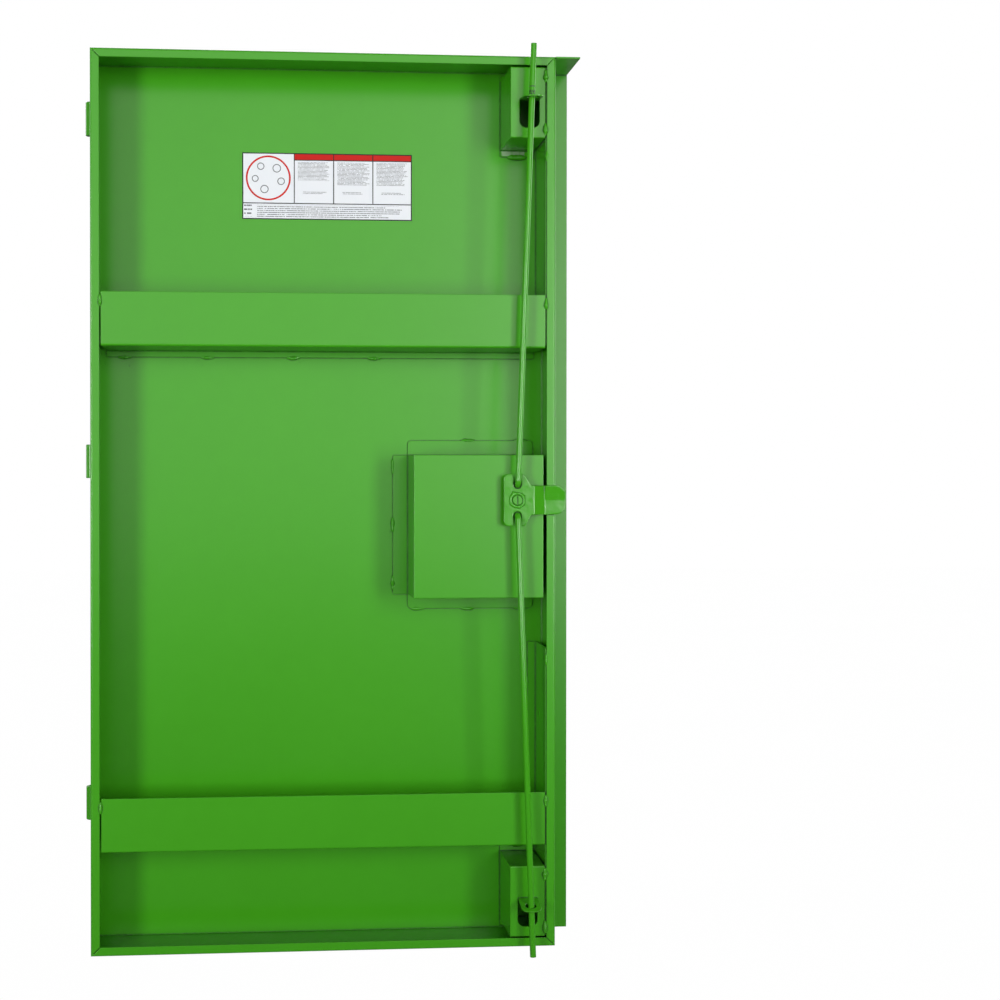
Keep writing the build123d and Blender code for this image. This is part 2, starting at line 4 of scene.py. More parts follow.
import bmesh
import bpy
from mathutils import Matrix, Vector, noise


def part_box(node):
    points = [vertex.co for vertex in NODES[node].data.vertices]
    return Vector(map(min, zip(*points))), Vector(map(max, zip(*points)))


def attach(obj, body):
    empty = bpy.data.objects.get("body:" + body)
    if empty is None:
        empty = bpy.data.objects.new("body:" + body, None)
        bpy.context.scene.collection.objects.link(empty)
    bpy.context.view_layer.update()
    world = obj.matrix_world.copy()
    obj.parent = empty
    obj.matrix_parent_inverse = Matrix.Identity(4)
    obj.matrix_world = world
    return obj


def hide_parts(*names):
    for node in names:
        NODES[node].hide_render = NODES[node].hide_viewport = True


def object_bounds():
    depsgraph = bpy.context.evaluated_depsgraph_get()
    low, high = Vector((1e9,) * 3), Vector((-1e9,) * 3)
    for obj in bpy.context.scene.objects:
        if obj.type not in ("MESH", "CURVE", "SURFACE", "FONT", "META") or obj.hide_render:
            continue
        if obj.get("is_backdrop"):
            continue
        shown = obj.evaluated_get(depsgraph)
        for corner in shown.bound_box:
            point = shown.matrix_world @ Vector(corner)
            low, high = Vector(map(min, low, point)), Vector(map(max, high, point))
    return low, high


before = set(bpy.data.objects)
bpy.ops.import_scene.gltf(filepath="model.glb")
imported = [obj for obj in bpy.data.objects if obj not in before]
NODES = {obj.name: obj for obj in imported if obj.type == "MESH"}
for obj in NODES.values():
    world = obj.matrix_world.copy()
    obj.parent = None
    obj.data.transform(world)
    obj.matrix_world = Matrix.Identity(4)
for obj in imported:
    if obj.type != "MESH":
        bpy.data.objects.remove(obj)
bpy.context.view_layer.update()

# Finishes, weld beads, latch plate and studio for the inside of a steel cabinet door leaf.
# Metres throughout.

MM = 0.001

# ---- small helpers ---------------------------------------------------------------------


def mesh_piece(name, body, material, build, smooth=True):
    """A mesh object made by build(bm), riding on a body."""
    mesh = bpy.data.meshes.new(name)
    bm = bmesh.new()
    build(bm)
    bmesh.ops.recalc_face_normals(bm, faces=bm.faces)
    bm.to_mesh(mesh)
    bm.free()
    for face in mesh.polygons:
        face.use_smooth = smooth
    piece = bpy.data.objects.new(name, mesh)
    bpy.context.scene.collection.objects.link(piece)
    mesh.materials.append(material)
    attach(piece, body)
    return piece


def new_group(name, inputs, outputs):
    """An empty shader group with named sockets, its maker, and its input and output nodes."""
    group = bpy.data.node_groups.new(name, "ShaderNodeTree")
    for label, kind, value in inputs:
        socket = group.interface.new_socket(name=label, in_out="INPUT", socket_type=kind)
        if value is not None:
            socket.default_value = value
    for label, kind in outputs:
        group.interface.new_socket(name=label, in_out="OUTPUT", socket_type=kind)
    given = group.nodes.new("NodeGroupInput")
    out = group.nodes.new("NodeGroupOutput")
    return group, Maker(group), given, out


# the mix node repeats its socket names, so its colour sockets go by number
MIX_FIRST, MIX_SECOND, MIX_RESULT = 6, 7, 2


class Maker:
    """Adds nodes and links to one node tree."""

    def __init__(self, tree):
        self.tree = tree

    def node(self, kind, values=None, **settings):
        """A new node with its settings, and its sockets fed from values."""
        made = self.tree.nodes.new(kind)
        for key, value in settings.items():
            setattr(made, key, value)
        for key, value in (values or {}).items():
            self.feed(made.inputs[key], value)
        return made

    def feed(self, socket, value):
        """Link a socket into this one, or set its value."""
        if isinstance(value, bpy.types.NodeSocket):
            self.tree.links.new(value, socket)
        else:
            socket.default_value = value

    def math(self, operation, a, b=0.0, clamp=False):
        made = self.node("ShaderNodeMath", operation=operation, use_clamp=clamp)
        self.feed(made.inputs[0], a)
        self.feed(made.inputs[1], b)
        return made.outputs[0]

    def ramp(self, value, low, high, out_low=0.0, out_high=1.0):
        """A smooth step from out_low at low to out_high at high."""
        made = self.node("ShaderNodeMapRange", {"Value": value, "From Min": low,
                         "From Max": high, "To Min": out_low, "To Max": out_high})
        made.interpolation_type = "SMOOTHSTEP"
        return made.outputs["Result"]

    def noise(self, where, scale, detail=2.0, rough=0.5):
        made = self.node("ShaderNodeTexNoise", {"Vector": where, "Scale": scale,
                         "Detail": detail, "Roughness": rough})
        return made.outputs["Fac"]

    def blend(self, factor, a, b, mode="MIX"):
        made = self.node("ShaderNodeMix", data_type="RGBA", blend_type=mode)
        self.feed(made.inputs["Factor"], factor)
        self.feed(made.inputs[MIX_FIRST], a)
        self.feed(made.inputs[MIX_SECOND], b)
        return made.outputs[MIX_RESULT]

    def band(self, value, low, high):
        """1 between two limits, else 0."""
        above = self.math("GREATER_THAN", value, low)
        return self.math("MULTIPLY", above, self.math("LESS_THAN", value, high))

    def either(self, first, *others):
        """1 where any of the masks is 1."""
        for other in others:
            first = self.math("MAXIMUM", first, other)
        return first

    def both(self, first, *others):
        """1 where all of the masks are 1."""
        for other in others:
            first = self.math("MULTIPLY", first, other)
        return first

    def use(self, group, values):
        """The outputs of a shared group placed with its own values."""
        made = self.tree.nodes.new("ShaderNodeGroup")
        made.node_tree = group
        for key, value in values.items():
            self.feed(made.inputs[key], value)
        return made.outputs


FLOAT, VECTOR = "NodeSocketFloat", "NodeSocketVector"

# ---- effects shared by the finishes ----------------------------------------------------


def mottle_group():
    """Slow and fine unevenness in a sprayed coat."""
    group, make, given, out = new_group(
        "coat mottle", [("Where", VECTOR, None), ("Amount", FLOAT, 0.06)],
        [("Shade", FLOAT), ("Cloud", FLOAT)])
    slow = make.noise(given.outputs["Where"], scale=2.2, detail=3.0, rough=0.55)
    fine = make.noise(given.outputs["Where"], scale=38.0, detail=4.0, rough=0.6)
    cloud = make.math("ADD", make.math("MULTIPLY", slow, 0.7), make.math("MULTIPLY", fine, 0.3))
    swing = make.math("MULTIPLY", make.math("SUBTRACT", cloud, 0.5), given.outputs["Amount"])
    shade = make.math("ADD", make.math("MULTIPLY", swing, 2.0), 1.0)
    make.feed(out.inputs["Shade"], shade)
    make.feed(out.inputs["Cloud"], cloud)
    return group


def peel_group():
    """Orange-peel height of baked powder coat, with slow sheet ripple under it."""
    group, make, given, out = new_group(
        "orange peel", [("Where", VECTOR, None), ("Ripple", FLOAT, 0.3)], [("Height", FLOAT)])
    peel = make.noise(given.outputs["Where"], scale=420.0, detail=2.0, rough=0.5)
    slow = make.noise(given.outputs["Where"], scale=7.0, detail=1.0, rough=0.4)
    wave = make.math("MULTIPLY", slow, given.outputs["Ripple"])
    make.feed(out.inputs["Height"], make.math("ADD", make.math("MULTIPLY", peel, 0.02), wave))
    return group


def edge_wear_and_highlight_group():
    """Mask of arrises, partly rubbed coat and partly painted highlight: where a rounded normal
    leaves the true one, broken by noise.
    """
    group, make, given, out = new_group(
        "edge rubbing and painted highlight", [("Where", VECTOR, None), ("Radius", FLOAT, 0.0012), ("Breakup", FLOAT, 0.5)],
        [("Mask", FLOAT)])
    round_off = make.node("ShaderNodeBevel", {"Radius": given.outputs["Radius"]}, samples=4)
    true_face = make.node("ShaderNodeNewGeometry")
    dot = make.node("ShaderNodeVectorMath", operation="DOT_PRODUCT")
    make.feed(dot.inputs[0], round_off.outputs["Normal"])
    make.feed(dot.inputs[1], true_face.outputs["Normal"])
    lean = make.ramp(make.math("SUBTRACT", 1.0, dot.outputs["Value"]), 0.02, 0.22)
    speck = make.noise(given.outputs["Where"], scale=160.0, detail=4.0, rough=0.7)
    patch = make.noise(given.outputs["Where"], scale=9.0, detail=2.0, rough=0.5)
    broken = make.math("ADD", make.math("MULTIPLY", speck, 0.5), make.math("MULTIPLY", patch, 0.5))
    opening = given.outputs["Breakup"]
    gate = make.ramp(broken, opening, make.math("ADD", opening, 0.14))
    make.feed(out.inputs["Mask"], make.math("MULTIPLY", lean, gate, clamp=True))
    return group


def dust_group():
    """Mask of fine dust that settles on faces turned up."""
    group, make, given, out = new_group(
        "settled dust", [("Where", VECTOR, None), ("Amount", FLOAT, 0.25)], [("Mask", FLOAT)])
    true_face = make.node("ShaderNodeNewGeometry")
    split = make.node("ShaderNodeSeparateXYZ", {"Vector": true_face.outputs["Normal"]})
    up = make.ramp(split.outputs["Z"], 0.35, 0.95)
    drift = make.noise(given.outputs["Where"], scale=30.0, detail=5.0, rough=0.65)
    drift = make.ramp(drift, 0.35, 0.75)
    amount = make.math("MULTIPLY", up, given.outputs["Amount"])
    make.feed(out.inputs["Mask"], make.math("MULTIPLY", amount, drift, clamp=True))
    return group


def scuff_group():
    """Mask of short hairline scratches in two directions."""
    group, make, given, out = new_group(
        "hairline scuffs", [("Where", VECTOR, None), ("Density", FLOAT, 0.5)], [("Mask", FLOAT)])
    upright, level = (900.0, 900.0, 14.0), (18.0, 700.0, 700.0)
    total = None
    for stretch in (upright, level):
        move = make.node("ShaderNodeMapping", {"Vector": given.outputs["Where"], "Scale": stretch})
        line = make.noise(move.outputs["Vector"], scale=1.0, detail=2.0, rough=0.5)
        line = make.ramp(line, 0.70, 0.76)
        total = line if total is None else make.math("MAXIMUM", total, line)
    patch = make.noise(given.outputs["Where"], scale=6.0, detail=2.0, rough=0.5)
    patch = make.ramp(patch, 0.52, 0.68)
    kept = make.math("MULTIPLY", patch, given.outputs["Density"])
    make.feed(out.inputs["Mask"], make.math("MULTIPLY", total, kept, clamp=True))
    return group


def painted_crease_shade_group():
    """Mask of painted shade: a dark line, found by ambient occlusion, where one sheet lies on
    another or meets it in a corner.
    """
    group, make, given, out = new_group(
        "painted crease shade", [("Where", VECTOR, None), ("Reach", FLOAT, 0.004)], [("Mask", FLOAT)])
    reach = {"Distance": given.outputs["Reach"]}
    hollow = make.node("ShaderNodeAmbientOcclusion", reach, samples=8)
    crease_shade = make.math("SUBTRACT", 1.0, hollow.outputs["AO"])
    line = make.ramp(crease_shade, 0.12, 0.38)
    broken = make.noise(given.outputs["Where"], scale=120.0, detail=3.0, rough=0.6)
    broken = make.ramp(broken, 0.25, 0.60, 0.65, 1.0)
    make.feed(out.inputs["Mask"], make.math("MULTIPLY", line, broken, clamp=True))
    return group


MOTTLE, PEEL, EDGE_WEAR_AND_HIGHLIGHT = mottle_group(), peel_group(), edge_wear_and_highlight_group()
DUST, SCUFF, CREASE_SHADE = dust_group(), scuff_group(), painted_crease_shade_group()

# ---- finishes --------------------------------------------------------------------------

GREEN = (0.056, 0.380, 0.008, 1.0)
GREEN_DEEP = (0.048, 0.346, 0.006, 1.0)
GREEN_CREASE_SHADE = (0.006, 0.070, 0.001, 1.0)     # painted shade where two sheets meet
GREEN_RUBBED_AND_LIT = (0.16, 0.47, 0.11, 1.0)      # along arrises: partly rubbed coat, partly painted highlight
GREEN_SCUFFED = (0.12, 0.45, 0.08, 1.0)
BARE = (0.030, 0.030, 0.034, 1.0)           # dark bare steel
BARE_ROUGH = (0.42, 0.42, 0.42, 1.0)
TAB_HIGHLIGHT = (0.30, 0.44, 0.27, 1.0)         # painted highlight on the guide's flat lower tab
DUST_TINT = (0.33, 0.42, 0.27, 1.0)
ZINC_DULL, ZINC_BRIGHT = (0.42, 0.43, 0.42, 1.0), (0.66, 0.66, 0.62, 1.0)
ZINC_SCUFFED = (0.75, 0.75, 0.74, 1.0)
VINYL_DARK, VINYL_WORN = (0.010, 0.010, 0.011, 1.0), (0.026, 0.026, 0.028, 1.0)
VINYL_DUST = (0.12, 0.12, 0.11, 1.0)

COAT_IOR = 1.5
EDGE_WEAR_AND_HIGHLIGHT_RADIUS = 0.0011             # how far from an arris the coat is rubbed and the painted highlight reaches
ARRIS_RADIUS = 0.0016           # roundness that the coat gives a folded edge
CREASE_SHADE_REACH = 0.004            # how far from a corner the painted shade reaches


def blank_finish(name):
    """A material with one plain shader, its maker, and the place on the part in metres."""
    material = bpy.data.materials.new(name)
    material.use_nodes = True
    material.node_tree.nodes.clear()
    make = Maker(material.node_tree)
    out = make.node("ShaderNodeOutputMaterial")
    shader = make.node("ShaderNodeBsdfPrincipled")
    make.feed(out.inputs["Surface"], shader.outputs["BSDF"])
    where = make.node("ShaderNodeTexCoord").outputs["Object"]
    return material, make, shader, where


def green_paint(name, ripple=0.10, edge_breakup=0.62, wear_and_highlight=0.25, rough=0.20, extra=None,
                bare_and_highlight_colour=BARE):
    """Semi-gloss green powder coat; extra(make, where) may give a mask for a second colour: rubbed
    metal on the rods, a painted highlight on the guide's tab.
    """
    material, make, shader, where = blank_finish(name)
    mottle = make.use(MOTTLE, {"Where": where, "Amount": 0.05})
    colour = make.blend(mottle["Cloud"], GREEN_DEEP, GREEN)
    shade = make.node("ShaderNodeCombineColor")
    for channel in ("Red", "Green", "Blue"):
        make.feed(shade.inputs[channel], mottle["Shade"])
    colour = make.blend(1.0, colour, shade.outputs["Color"], "MULTIPLY")
    dust = make.use(DUST, {"Where": where, "Amount": 0.06})["Mask"]
    colour = make.blend(dust, colour, DUST_TINT)
    # lighter arris tint: partly rubbed coat, partly painted highlight along folded edges
    edge = make.use(EDGE_WEAR_AND_HIGHLIGHT, {"Where": where, "Radius": EDGE_WEAR_AND_HIGHLIGHT_RADIUS, "Breakup": edge_breakup})["Mask"]
    scuff = make.use(SCUFF, {"Where": where, "Density": 0.20})["Mask"]
    # painted shade: ambient occlusion darkens the coat to near black near inner corners and
    # between sheets
    crease_shade = make.use(CREASE_SHADE, {"Where": where, "Reach": CREASE_SHADE_REACH})["Mask"]
    for mask, strength, tint in ((edge, wear_and_highlight, GREEN_RUBBED_AND_LIT), (scuff, 0.35, GREEN_SCUFFED),
                                 (crease_shade, 0.92, GREEN_CREASE_SHADE)):
        colour = make.blend(make.math("MULTIPLY", mask, strength), colour, tint)
    gloss = rough
    for mask, duller in ((mottle["Cloud"], 0.05), (crease_shade, 0.3), (dust, 0.4), (scuff, 0.15)):
        gloss = make.math("ADD", gloss, make.math("MULTIPLY", mask, duller))
    metal = 0.0
    if extra is not None:
        bare_and_highlight = extra(make, where)
        colour = make.blend(bare_and_highlight, colour, bare_and_highlight_colour)
        gloss = make.blend(bare_and_highlight, gloss, BARE_ROUGH)
        metal = make.math("MULTIPLY", bare_and_highlight, 0.5)
    make.feed(shader.inputs["Base Color"], colour)
    make.feed(shader.inputs["Roughness"], gloss)
    make.feed(shader.inputs["Metallic"], metal)
    shader.inputs["IOR"].default_value = COAT_IOR
    height = make.use(PEEL, {"Where": where, "Ripple": ripple})["Height"]
    round_off = make.node("ShaderNodeBevel", {"Radius": ARRIS_RADIUS}, samples=4)
    bump = make.node("ShaderNodeBump", {"Strength": 0.35, "Distance": 0.0012,
                     "Height": height, "Normal": round_off.outputs["Normal"]})
    make.feed(shader.inputs["Normal"], bump.outputs["Normal"])
    return material


def zinc_plate():
    """Bright zinc on washers, clips and the hub pin."""
    material, make, shader, where = blank_finish("zinc plated steel")
    spangle = make.noise(where, scale=260.0, detail=3.0, rough=0.6)
    colour = make.blend(spangle, ZINC_DULL, ZINC_BRIGHT)
    scuff = make.use(SCUFF, {"Where": where, "Density": 0.9})["Mask"]
    colour = make.blend(scuff, colour, ZINC_SCUFFED)
    make.feed(shader.inputs["Base Color"], colour)
    make.feed(shader.inputs["Metallic"], 1.0)
    make.feed(shader.inputs["Roughness"], make.ramp(spangle, 0.3, 0.7, 0.22, 0.42))
    bump = make.node("ShaderNodeBump", {"Strength": 0.3, "Distance": 0.0004, "Height": spangle})
    make.feed(shader.inputs["Normal"], bump.outputs["Normal"])
    return material


def dipped_vinyl():
    """Black dipped sleeve on the outside handle."""
    material, make, shader, where = blank_finish("dipped vinyl")
    fine = make.noise(where, scale=600.0, detail=3.0, rough=0.6)
    slow = make.noise(where, scale=40.0, detail=2.0, rough=0.5)
    colour = make.blend(slow, VINYL_DARK, VINYL_WORN)
    dust = make.use(DUST, {"Where": where, "Amount": 0.3})["Mask"]
    make.feed(shader.inputs["Base Color"], make.blend(dust, colour, VINYL_DUST))
    make.feed(shader.inputs["Roughness"], make.ramp(slow, 0.3, 0.7, 0.38, 0.55))
    bump = make.node("ShaderNodeBump", {"Strength": 0.4, "Distance": 0.0005, "Height": fine})
    make.feed(shader.inputs["Normal"], bump.outputs["Normal"])
    return material


# the printed label, in metres from its lower left corner
BORDER = 0.0017                 # width of the dark border
CELL = 0.0845                   # right edge of the square cell
STRIP = 0.0262                  # top of the strip along the foot
HEADER = 0.0968                 # foot of the coloured header bars
RULE = 0.0008                   # half the width of a printed rule
BIG_RING = (0.0350, 0.0014)     # its radius and half its width
RINGS = ((0.030, 0.086, 0.0052), (0.056, 0.083, 0.0062), (0.021, 0.066, 0.0048),
         (0.063, 0.062, 0.0054), (0.036, 0.049, 0.0060))    # across, up, radius
RING_LINE = 0.0007              # half the width of a small ring's line
ROWS_FOOT = (0.064, 0.056, 0.056)   # where the rows of each column stop
ROWS_TOP = 0.0935
ROWS_IN = (0.006, 0.005)        # from the column's left and right edges
NOTE_FOOT, NOTE_TOP = 0.0415, 0.0460
NOTE_IN = (0.008, 0.006)        # from the rows' left and right ends
FOOT_LOW, FOOT_TOP = 0.0040, 0.0235
FOOT_IN = (0.024, 0.010)        # from the label's left and right edges
HEADS_LEFT, HEADS_RIGHT = 0.003, 0.018
ROW_PITCH, NOTE_PITCH, FOOT_PITCH, HEAD_PITCH = 0.0021, 0.0022, 0.0032, 0.0064
INK = (0.012, 0.013, 0.016, 1.0)
GREY_INK = (0.060, 0.066, 0.080, 1.0)
RED_INK = (0.56, 0.006, 0.003, 1.0)
RED_FADED = (0.62, 0.010, 0.006, 1.0)
FILM = (0.82, 0.85, 0.92, 1.0)
FILM_PALE = (0.86, 0.88, 0.93, 1.0)


def ruled_lines(make, along, up, left, right, low, high, pitch, seed):
    """Rows of short grey strokes with a ragged right end: a stand-in for small print."""
    row = make.math("FLOOR", make.math("DIVIDE", up, pitch))
    chance = make.node("ShaderNodeTexWhiteNoise", {"W": make.math("ADD", row, seed)},
                       noise_dimensions="1D").outputs["Value"]
    stroke = make.band(make.math("FRACT", make.math("DIVIDE", up, pitch)), 0.28, 0.66)
    ragged = make.math("SUBTRACT", right, make.math("MULTIPLY", chance, 0.22 * (right - left)))
    inside = make.both(make.band(up, low, high), make.band(along, left, ragged))
    spot = make.node("ShaderNodeCombineXYZ", {"X": make.math("MULTIPLY", along, 900.0),
                                              "Y": make.math("MULTIPLY", row, 3.7)})
    words = make.noise(spot.outputs["Vector"], scale=1.0, detail=1.0, rough=0.5)
    words = make.math("GREATER_THAN", words, 0.42)
    return make.both(stroke, inside, words)


def plain_ring(make, along, up, centre, radius, half):
    """A printed circle about a centre."""
    offset = make.node("ShaderNodeCombineXYZ", {"X": make.math("SUBTRACT", along, centre[0]),
                                                "Y": make.math("SUBTRACT", up, centre[1])})
    reach = make.node("ShaderNodeVectorMath", operation="LENGTH")
    make.feed(reach.inputs[0], offset.outputs["Vector"])
    return make.band(reach.outputs["Value"], radius - half, radius + half)


def label_film():
    """White film with plain rules, bars, rings and grey strokes, and no lettering."""
    low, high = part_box("label")
    wide, tall = high.x - low.x, high.z - low.z
    material, make, shader, where = blank_finish("printed label film")
    place = make.node("ShaderNodeSeparateXYZ", {"Vector": where})
    along = make.math("SUBTRACT", place.outputs["X"], low.x)
    up = make.math("SUBTRACT", place.outputs["Z"], low.z)
    column = (wide - CELL) / 3
    posts = [CELL + column * number for number in range(3)]
    inner = make.both(make.band(along, BORDER, wide - BORDER),
                      make.band(up, BORDER, tall - BORDER))
    rules = make.math("SUBTRACT", 1.0, inner)
    above = make.math("GREATER_THAN", up, STRIP)
    for post in posts:
        rules = make.either(rules, make.both(make.band(along, post - RULE, post + RULE), above))
    rules = make.either(rules, make.band(up, STRIP - RULE, STRIP + RULE))
    right_part = make.math("GREATER_THAN", along, CELL)
    rules = make.either(rules, make.both(make.band(up, HEADER - RULE, HEADER + RULE), right_part))
    bars = make.both(make.math("GREATER_THAN", up, HEADER), right_part)
    middle = (CELL / 2, (STRIP + tall) / 2)
    bars = make.either(bars, plain_ring(make, along, up, middle, *BIG_RING))
    grey = 0.0
    for number, post in enumerate(posts):
        left, right = post + ROWS_IN[0], post + column - ROWS_IN[1]
        rows = ruled_lines(make, along, up, left, right, ROWS_FOOT[number], ROWS_TOP,
                           ROW_PITCH, seed=11.0 + 17.0 * number)
        note = ruled_lines(make, along, up, left + NOTE_IN[0], right - NOTE_IN[1], NOTE_FOOT,
                           NOTE_TOP, NOTE_PITCH, seed=83.0 + 5.0 * number)
        grey = make.either(grey, rows, note)
    foot_rows = ruled_lines(make, along, up, FOOT_IN[0], wide - FOOT_IN[1], FOOT_LOW, FOOT_TOP,
                            FOOT_PITCH, seed=140.0)
    heads = ruled_lines(make, along, up, HEADS_LEFT, HEADS_RIGHT, FOOT_LOW, FOOT_TOP,
                        HEAD_PITCH, seed=171.0)
    grey = make.either(grey, foot_rows, heads)
    for across, level, radius in RINGS:
        ring = plain_ring(make, along, up, (across, level), radius, RING_LINE)
        grey = make.either(grey, ring)
    shader.inputs["Specular IOR Level"].default_value = 0.2
    fade = make.noise(where, scale=55.0, detail=3.0, rough=0.6)
    paper = make.blend(fade, FILM, FILM_PALE)
    colour = make.blend(make.math("MULTIPLY", grey, 0.9), paper, GREY_INK)
    colour = make.blend(bars, colour, make.blend(fade, RED_INK, RED_FADED))
    colour = make.blend(rules, colour, INK)
    make.feed(shader.inputs["Base Color"], colour)
    make.feed(shader.inputs["Roughness"], make.ramp(fade, 0.3, 0.7, 0.36, 0.48))
    height = make.math("ADD", make.math("MULTIPLY", fade, 0.3), make.math("MULTIPLY", rules, 0.2))
    bump = make.node("ShaderNodeBump", {"Strength": 0.2, "Distance": 0.0003, "Height": height})
    make.feed(shader.inputs["Normal"], bump.outputs["Normal"])
    return material


BENT_TAB_DOWN = 0.0625          # from the upper guide's top end down to its bent tab
ROD_RING = (0.0142, 0.0156)     # bare ring on the rod, above the bent tab
ROD_PATCH = (0.0020, 0.0092)    # broken bare patch between that ring and the tab
TAB_HIGHLIGHT_UP = (0.0012, 0.0088)   # band of painted highlight on the guide's lower tab, from its foot
TAB_HIGHLIGHT_IN = (0.002, 0.040)     # and from its left end


def rub_on_rod(make, where):
    """Bare steel where the upper rod rubs in its guide: a thin ring and a broken patch."""
    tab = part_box("upper_rod_guide")[1].z - BENT_TAB_DOWN
    height = make.node("ShaderNodeSeparateXYZ", {"Vector": where}).outputs["Z"]
    speck = make.noise(where, scale=420.0, detail=3.0, rough=0.7)
    wander = make.math("MULTIPLY", make.math("SUBTRACT", speck, 0.5), 0.0012)
    level = make.math("ADD", make.math("SUBTRACT", height, tab), wander)
    ring = make.band(level, *ROD_RING)
    patch = make.both(make.band(level, *ROD_PATCH), make.math("GREATER_THAN", speck, 0.50))
    return make.either(ring, patch)


def highlight_on_tab(make, where):
    """Painted highlight: a lighter grey-green band on the upper guide's flat lower tab."""
    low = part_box("upper_rod_guide")[0]
    place = make.node("ShaderNodeSeparateXYZ", {"Vector": where})
    highlight_breakup = make.noise(where, scale=150.0, detail=4.0, rough=0.65)
    tab = make.both(
        make.band(place.outputs["Z"], low.z + TAB_HIGHLIGHT_UP[0], low.z + TAB_HIGHLIGHT_UP[1]),
        make.band(place.outputs["X"], low.x + TAB_HIGHLIGHT_IN[0], low.x + TAB_HIGHLIGHT_IN[1]))
    return make.math("MULTIPLY", tab, make.ramp(highlight_breakup, 0.28, 0.55, 0.25, 0.9))


PAINT = green_paint("green powder coat")
# the upper guide's lower tab gets a painted highlight, a lighter grey-green band
PAINT_TAB_HIGHLIGHT = green_paint("green coat with painted highlight on tab", extra=highlight_on_tab, bare_and_highlight_colour=TAB_HIGHLIGHT)
# strong lighter arris tint on the flame-cut plate: partly wear, mostly painted highlight on its
# rims
PAINT_LATCH = green_paint("green coat on flame-cut plate", ripple=0.5, edge_breakup=0.36, wear_and_highlight=0.7,
                          rough=0.16)
PAINT_ROD = green_paint("green coat on rubbed rods", ripple=0.0, edge_breakup=0.70, rough=0.12,
                        extra=rub_on_rod)
PAINT_WELD = green_paint("green coat over weld", ripple=0.0, edge_breakup=0.70, rough=0.20)
LABEL = label_film()
ZINC = zinc_plate()
VINYL = dipped_vinyl()

FINISH_OF = {
    "handle_grip": VINYL, "label": LABEL, "upper_rod_guide": PAINT_TAB_HIGHLIGHT,
    "upper_rod": PAINT_ROD, "lower_rod": PAINT_ROD, "thrust_washer": ZINC, "hub_pin": ZINC,
    "upper_rod_clip": ZINC, "lower_rod_clip": ZINC,
}
for name, node in NODES.items():
    for slot in node.material_slots:
        slot.material = FINISH_OF.get(name, PAINT)

# ---- weld beads ------------------------------------------------------------------------

SAME_POINT = 0.001 * MM         # corners closer than this are one
RIPPLE_PITCH = 2.1 * MM
BEAD_STEP = 0.5 * MM            # between the rings of a bead
BEAD_AROUND = 16                # corners round a bead
BEAD_OVERHANG = 0.95            # how far a bead rounds off past its run, in radii
BEAD_TAPER = 0.30               # how much thinner its ends are than its middle
BEAD_SWELL = 0.45               # how much its size wanders
BEAD_DRIFT = 1.1 * MM           # how far its line wanders
BALLS = (3, 6)                  # fewest and most balls of spatter by one bead
BALL_RADIUS = (0.35, 0.8)       # least and most, in millimetres
BALL_FLAT = 0.8                 # height of a ball against its width
SPATTER_SPREAD = 14 * MM
BEAD_BURIED = 1.2 * MM          # how far a bead may sink into the sheet behind it
NEAR_WALL = 5 * MM


def solid_boxes(mesh):
    """The lowest and highest corner of each separate solid in a mesh."""
    bm = bmesh.new()
    bm.from_mesh(mesh)
    bmesh.ops.remove_doubles(bm, verts=bm.verts, dist=SAME_POINT)
    seen, boxes = set(), []
    for first in bm.verts:
        if first in seen:
            continue
        seen.add(first)
        stack, places = [first], []
        while stack:
            vert = stack.pop()
            places.append(vert.co.copy())
            for edge in vert.link_edges:
                other = edge.other_vert(vert)
                if other not in seen:
                    seen.add(other)
                    stack.append(other)
        low = Vector([min(place[axis] for place in places) for axis in range(3)])
        high = Vector([max(place[axis] for place in places) for axis in range(3)])
        boxes.append((low, high))
    bm.free()
    return boxes


def skin_over(bm, rings):
    """Faces between rings of equal count, closed with a fan at each end."""
    for one, two in zip(rings, rings[1:]):
        for number in range(len(one)):
            after = (number + 1) % len(one)
            bm.faces.new((one[number], one[after], two[after], two[number]))
    for ring in (rings[0], rings[-1]):
        middle = bm.verts.new(sum((vert.co for vert in ring), Vector()) / len(ring))
        for number in range(len(ring)):
            bm.faces.new((ring[number], ring[(number + 1) % len(ring)], middle))


def rippled_run(bm, start, end, radius, seed):
    """One weld bead between two points: a round-ended run of overlapping ripples."""
    axis = (end - start).normalized()
    side = axis.orthogonal().normalized()
    up = axis.cross(side)
    length = (end - start).length
    overhang = BEAD_OVERHANG * radius
    run = length + 2.0 * overhang
    count = int(run / BEAD_STEP)
    rings = []
    for number in range(count + 1):
        along = -overhang + run * number / count
        past = max(-along, along - length, 0.0) / radius
        from_middle = abs(2.0 * along / length - 1.0) if past == 0.0 else 1.0
        taper = 1.0 - BEAD_TAPER * from_middle ** 2
        dome = math.sqrt(1.0 - past * past) * taper
        swell = 1.0 + BEAD_SWELL * noise.noise(Vector((seed, along * 180.0, 0.0)))
        drift = BEAD_DRIFT * noise.noise(Vector((seed + 9.0, along * 130.0, 3.0)))
        ring = []
        for turn in range(BEAD_AROUND):
            angle = 2.0 * math.pi * turn / BEAD_AROUND
            ripple = along / RIPPLE_PITCH + 0.25 * math.cos(angle)
            crest = 0.5 + 0.5 * math.cos(2.0 * math.pi * ripple)
            rough = 0.05 * noise.noise(Vector((along * 900.0, turn * 1.3, seed)))
            reach = radius * dome * swell * (0.84 + 0.14 * crest + rough)
            off = side * (math.cos(angle) * reach + drift) + up * (math.sin(angle) * reach)
            ring.append(bm.verts.new(start + axis * along + off))
        rings.append(ring)
    skin_over(bm, rings)


